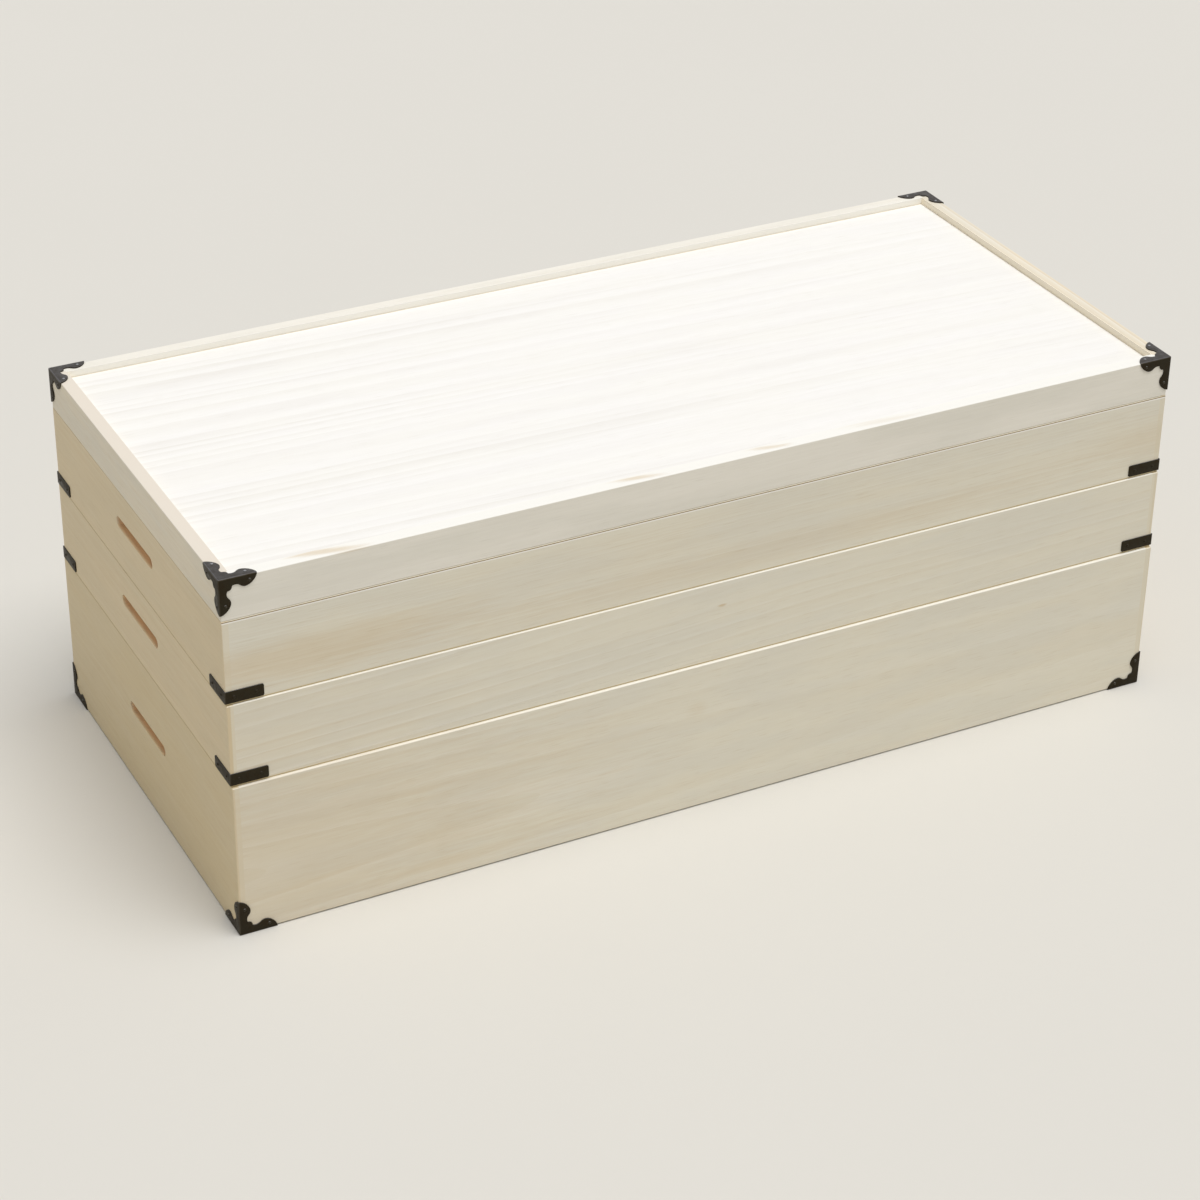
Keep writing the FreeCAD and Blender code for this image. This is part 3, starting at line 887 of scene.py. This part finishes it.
def strap_master(iron, height):
    """One corner strap round a vertical corner, in the quarter of +X and +Y, its corner at the origin."""
    bpy.ops.object.select_all(action="DESELECT")
    bpy.ops.mesh.primitive_plane_add(size=1.0)
    sheet = bpy.context.object
    sheet.name = "strap_master"
    sheet.data.transform(Matrix.Translation((0.5, 0.5, 0.0)))
    sheet.data.transform(Matrix.Diagonal((iron.strap_reach, height, 1, 1)))
    sheet.data.transform(Matrix.Rotation(math.radians(90), 4, "X"))
    ends = sheet.data.vertices
    pick(sheet, "EDGE", lambda edge: all(abs(ends[v].co.x) < TOUCHING for v in edge.vertices))
    bpy.ops.mesh.extrude_region_move(TRANSFORM_OT_translate={"value": (0, iron.strap_reach, 0)})
    bpy.ops.object.mode_set(mode="OBJECT")
    pick(sheet, "VERT", lambda vertex: max(vertex.co.x, vertex.co.y) > iron.strap_reach / 2)
    bpy.ops.mesh.bevel(offset=iron.strap_corner, segments=5, affect="VERTICES")
    bpy.ops.object.mode_set(mode="OBJECT")
    ends = sheet.data.vertices
    fold(sheet, iron, lambda edge: all(on_axis(ends[v].co.xy) == 2 for v in edge.vertices))
    face_outwards(sheet, Vector((0, -1, 0)))
    thicken(sheet, iron)
    return sheet


class CHEST_OT_straps(bpy.types.Operator):
    """Bend the corner straps of the middle and upper trays"""
    bl_idname = "chest.straps"
    bl_label = "Corner straps"

    def execute(self, context):
        iron = context.scene.chest_iron
        plates, edges = shared_lacquer()
        low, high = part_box("upper_tray_strap_front_left")
        master = strap_master(iron, high.z - low.z)
        for body in ("middle_tray", "upper_tray"):
            for face_name, face in FACES:
                for side_name, side in SIDES:
                    node = body + "_strap_" + face_name + "_" + side_name
                    low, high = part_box(node)
                    corner = outer_corner(low, high, face, side, low.z)
                    turn = Matrix.Diagonal((-side, -face, 1, 1))
                    piece = turned_copy(master, Matrix.Translation(corner) @ turn, node + "_plate")
                    finish_piece(piece, plates, body, node, edges)
        remove(master)
        return {"FINISHED"}


def nail_master(iron):
    """One nail head: a low dome over a short straight rim, looking up from the origin."""
    radius = (iron.head_radius ** 2 + iron.head_height ** 2) / (2 * iron.head_height)
    bpy.ops.object.select_all(action="DESELECT")
    bpy.ops.mesh.primitive_uv_sphere_add(segments=20, ring_count=28, radius=radius)
    head = bpy.context.object
    head.name = "nail_master"
    head.data.transform(Matrix.Translation((0, 0, iron.head_height - radius)))
    pick(head, "VERT", lambda vertex: True)
    bpy.ops.mesh.bisect(plane_co=(0, 0, DOME_FOOT), plane_no=(0, 0, 1), clear_inner=True, use_fill=False)
    bpy.ops.object.mode_set(mode="OBJECT")
    lowest = min(vertex.co.z for vertex in head.data.vertices)
    pick(head, "VERT", lambda vertex: vertex.co.z < lowest + TOUCHING)
    bpy.ops.mesh.extrude_region_move(TRANSFORM_OT_translate={"value": (0, 0, -lowest - iron.plate / 4)})
    bpy.ops.mesh.edge_face_add()
    bpy.ops.mesh.select_all(action="SELECT")
    bpy.ops.mesh.normals_make_consistent(inside=False)
    bpy.ops.object.mode_set(mode="OBJECT")
    smooth(head, 50)
    return head


def nail_turn(inward):
    """The turn that points a nail head away from the wood."""
    return Vector((0, 0, -1)).rotation_difference(inward).to_matrix().to_4x4()


def guard_nails(iron, corner, turn, with_flat):
    """Places and inward directions of the nails of one guard, one in each lobe that shows."""
    long_way = iron.guard_nail_along + iron.guard_nail_stagger
    short_way = iron.guard_nail_along - iron.guard_nail_stagger
    inset = iron.guard_nail_in
    x, y, z = (Vector(axis) for axis in (turn.col[0][:3], turn.col[1][:3], turn.col[2][:3]))
    places = [
        (corner + x * long_way + z * inset, y),
        (corner + x * inset + z * short_way, y),
        (corner + y * short_way + z * inset, x),
        (corner + y * inset + z * long_way, x),
    ]
    if with_flat:
        places.append((corner + x * short_way + y * inset, z))
        places.append((corner + x * inset + y * long_way, z))
    return places


def strap_nails(iron, corner, turn, height):
    """Places and inward directions of the nails of one strap, two in each leg."""
    x, y = Vector(turn.col[0][:3]), Vector(turn.col[1][:3])
    lift = Vector((0, 0, height / 2))
    places = []
    for along in (iron.strap_nail_near, iron.strap_nail_far):
        places.append((corner + x * along + lift, y))
        places.append((corner + y * along + lift, x))
    return places


class CHEST_OT_nails(bpy.types.Operator):
    """Set the dome-headed nails of all fittings, one group for each tier"""
    bl_idname = "chest.nails"
    bl_label = "Nails"

    def execute(self, context):
        iron = context.scene.chest_iron
        plates = shared_lacquer()[0]
        # The nail heads' upward parts take a painted glint
        glinting_heads = lacquer_material("nail_lacquer", iron.lacquer, iron.rubbed, iron.nail_glint,
                                  rough=0.30, shine=0.25, relief=0.00003)
        master = nail_master(iron)
        for body in TRAYS + ("lid",):
            kind = "guard" if body in ("deep_tray", "lid") else "strap"
            heads = []
            for face_name, face in FACES:
                for side_name, side in SIDES:
                    low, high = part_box(body + "_" + kind + "_" + face_name + "_" + side_name)
                    corner = outer_corner(low, high, face, side, high.z if body == "lid" else low.z)
                    turn = Matrix.Diagonal((-side, -face, -1 if body == "lid" else 1, 1))
                    if kind == "guard":
                        places = guard_nails(iron, corner, turn, body == "lid")
                    else:
                        places = strap_nails(iron, corner, turn, high.z - low.z)
                    for place, inward in places:
                        matrix = Matrix.Translation(place) @ nail_turn(inward)
                        heads.append(turned_copy(master, matrix, "nail_head"))
            group = join_up(heads, body + "_nail_heads")
            finish_piece(group, glinting_heads if kind == "guard" else plates, body, body + "_nails")
        remove(master)
        return {"FINISHED"}


def soft_sun(name, place, aim, width, strength):
    """A sun that looks wide and soft, so that a raised tray is lit as the others are."""
    bpy.ops.object.light_add(type="SUN", location=place)
    lamp = bpy.context.object
    lamp.name = name
    lamp.data.angle = width
    lamp.data.energy = strength
    lamp.rotation_euler = (Vector(aim) - Vector(place)).to_track_quat("-Z", "Y").to_euler()


def floor_material(stage):
    """A plain pale floor, with a faint mottle."""
    material, g = new_material("plain_floor")
    seen = g.add("TexCoord").outputs["Object"]
    mottle = g.noise(g.scaled(seen, MOTTLE), 3.0).outputs["Fac"]
    darker = tuple(c * 0.985 for c in stage.floor)
    shade = g.blend(mottle, opaque(stage.floor), opaque(darker))
    g.surface({"Base Color": shade, "Roughness": 0.85, "Specular IOR Level": 0.2})
    return material


class CHEST_OT_stage(bpy.types.Operator):
    """Lay the plain floor, hang the soft sun, and set the background and the camera"""
    bl_idname = "chest.stage"
    bl_label = "Stage"

    def execute(self, context):
        stage = context.scene.chest_stage
        bpy.ops.object.select_all(action="DESELECT")
        bpy.ops.mesh.primitive_plane_add(size=stage.floor_size)
        floor = context.object
        floor.name = "floor"
        floor.data.materials.append(floor_material(stage))

        soft_sun("top_lamp", SUN_PLACE, SUN_AIM, stage.softness, stage.lamp)

        # The camera and reflections see a white sky, and the chest is lit by a weaker one
        world = context.scene.world or bpy.data.worlds.new("plain_sky")
        context.scene.world = world
        world.use_nodes = True
        world.node_tree.nodes.clear()
        g = Graph(world.node_tree)
        path = g.add("LightPath")
        seen = g.maths("MAXIMUM", path.outputs["Is Camera Ray"], path.outputs["Is Glossy Ray"])
        seen = g.maths("MAXIMUM", seen, path.outputs["Is Transmission Ray"])
        level = g.between(seen, 0.0, 1.0, stage.sky, 1.0)
        sky = g.add("Background", {"Color": SKY_COLOUR, "Strength": level})
        g.add("OutputWorld", {"Surface": sky.outputs[0]})

        bpy.ops.object.camera_add()
        camera = context.object
        camera.name = "camera"
        camera.location = CAMERA_PLACE
        camera.rotation_euler = [math.radians(turn) for turn in CAMERA_TURN]
        camera.data.lens = stage.focal
        camera.data.sensor_width = 36.0
        camera.data.clip_end = 60.0
        context.scene.camera = camera
        context.scene.view_settings.view_transform = "Standard"
        return {"FINISHED"}


class CHEST_PT_panel(bpy.types.Panel):
    """Steps that finish the chest, in order"""
    bl_idname = "CHEST_PT_panel"
    bl_label = "Stacking clothing chest"
    bl_space_type = "VIEW_3D"
    bl_region_type = "UI"
    bl_category = "Chest"

    def draw(self, context):
        for step in STEPS:
            self.layout.operator(step.bl_idname)
        for group in ("chest_wood", "chest_iron", "chest_stage"):
            box = self.layout.box()
            settings = getattr(context.scene, group)
            for name in settings.__annotations__:
                box.prop(settings, name)


STEPS = (
    CHEST_OT_long_boards,
    CHEST_OT_end_boards,
    CHEST_OT_tray_insides,
    CHEST_OT_lid,
    CHEST_OT_guards,
    CHEST_OT_straps,
    CHEST_OT_nails,
    CHEST_OT_stage,
)
CLASSES = (ChestWood, ChestIron, ChestStage) + STEPS + (CHEST_PT_panel,)


def register():
    """Add the settings, the steps and the panel."""
    for item in CLASSES:
        bpy.utils.register_class(item)
    bpy.types.Scene.chest_wood = PointerProperty(type=ChestWood)
    bpy.types.Scene.chest_iron = PointerProperty(type=ChestIron)
    bpy.types.Scene.chest_stage = PointerProperty(type=ChestStage)


def unregister():
    """Take them away again."""
    del bpy.types.Scene.chest_stage
    del bpy.types.Scene.chest_iron
    del bpy.types.Scene.chest_wood
    for item in reversed(CLASSES):
        bpy.utils.unregister_class(item)


def main():
    """Finish the chest step by step."""
    register()
    bpy.ops.chest.long_boards()
    bpy.ops.chest.end_boards()
    bpy.ops.chest.tray_insides()
    bpy.ops.chest.lid()
    bpy.ops.chest.guards()
    bpy.ops.chest.straps()
    bpy.ops.chest.nails()
    bpy.ops.chest.stage()


if __name__ == "__main__":
    main()
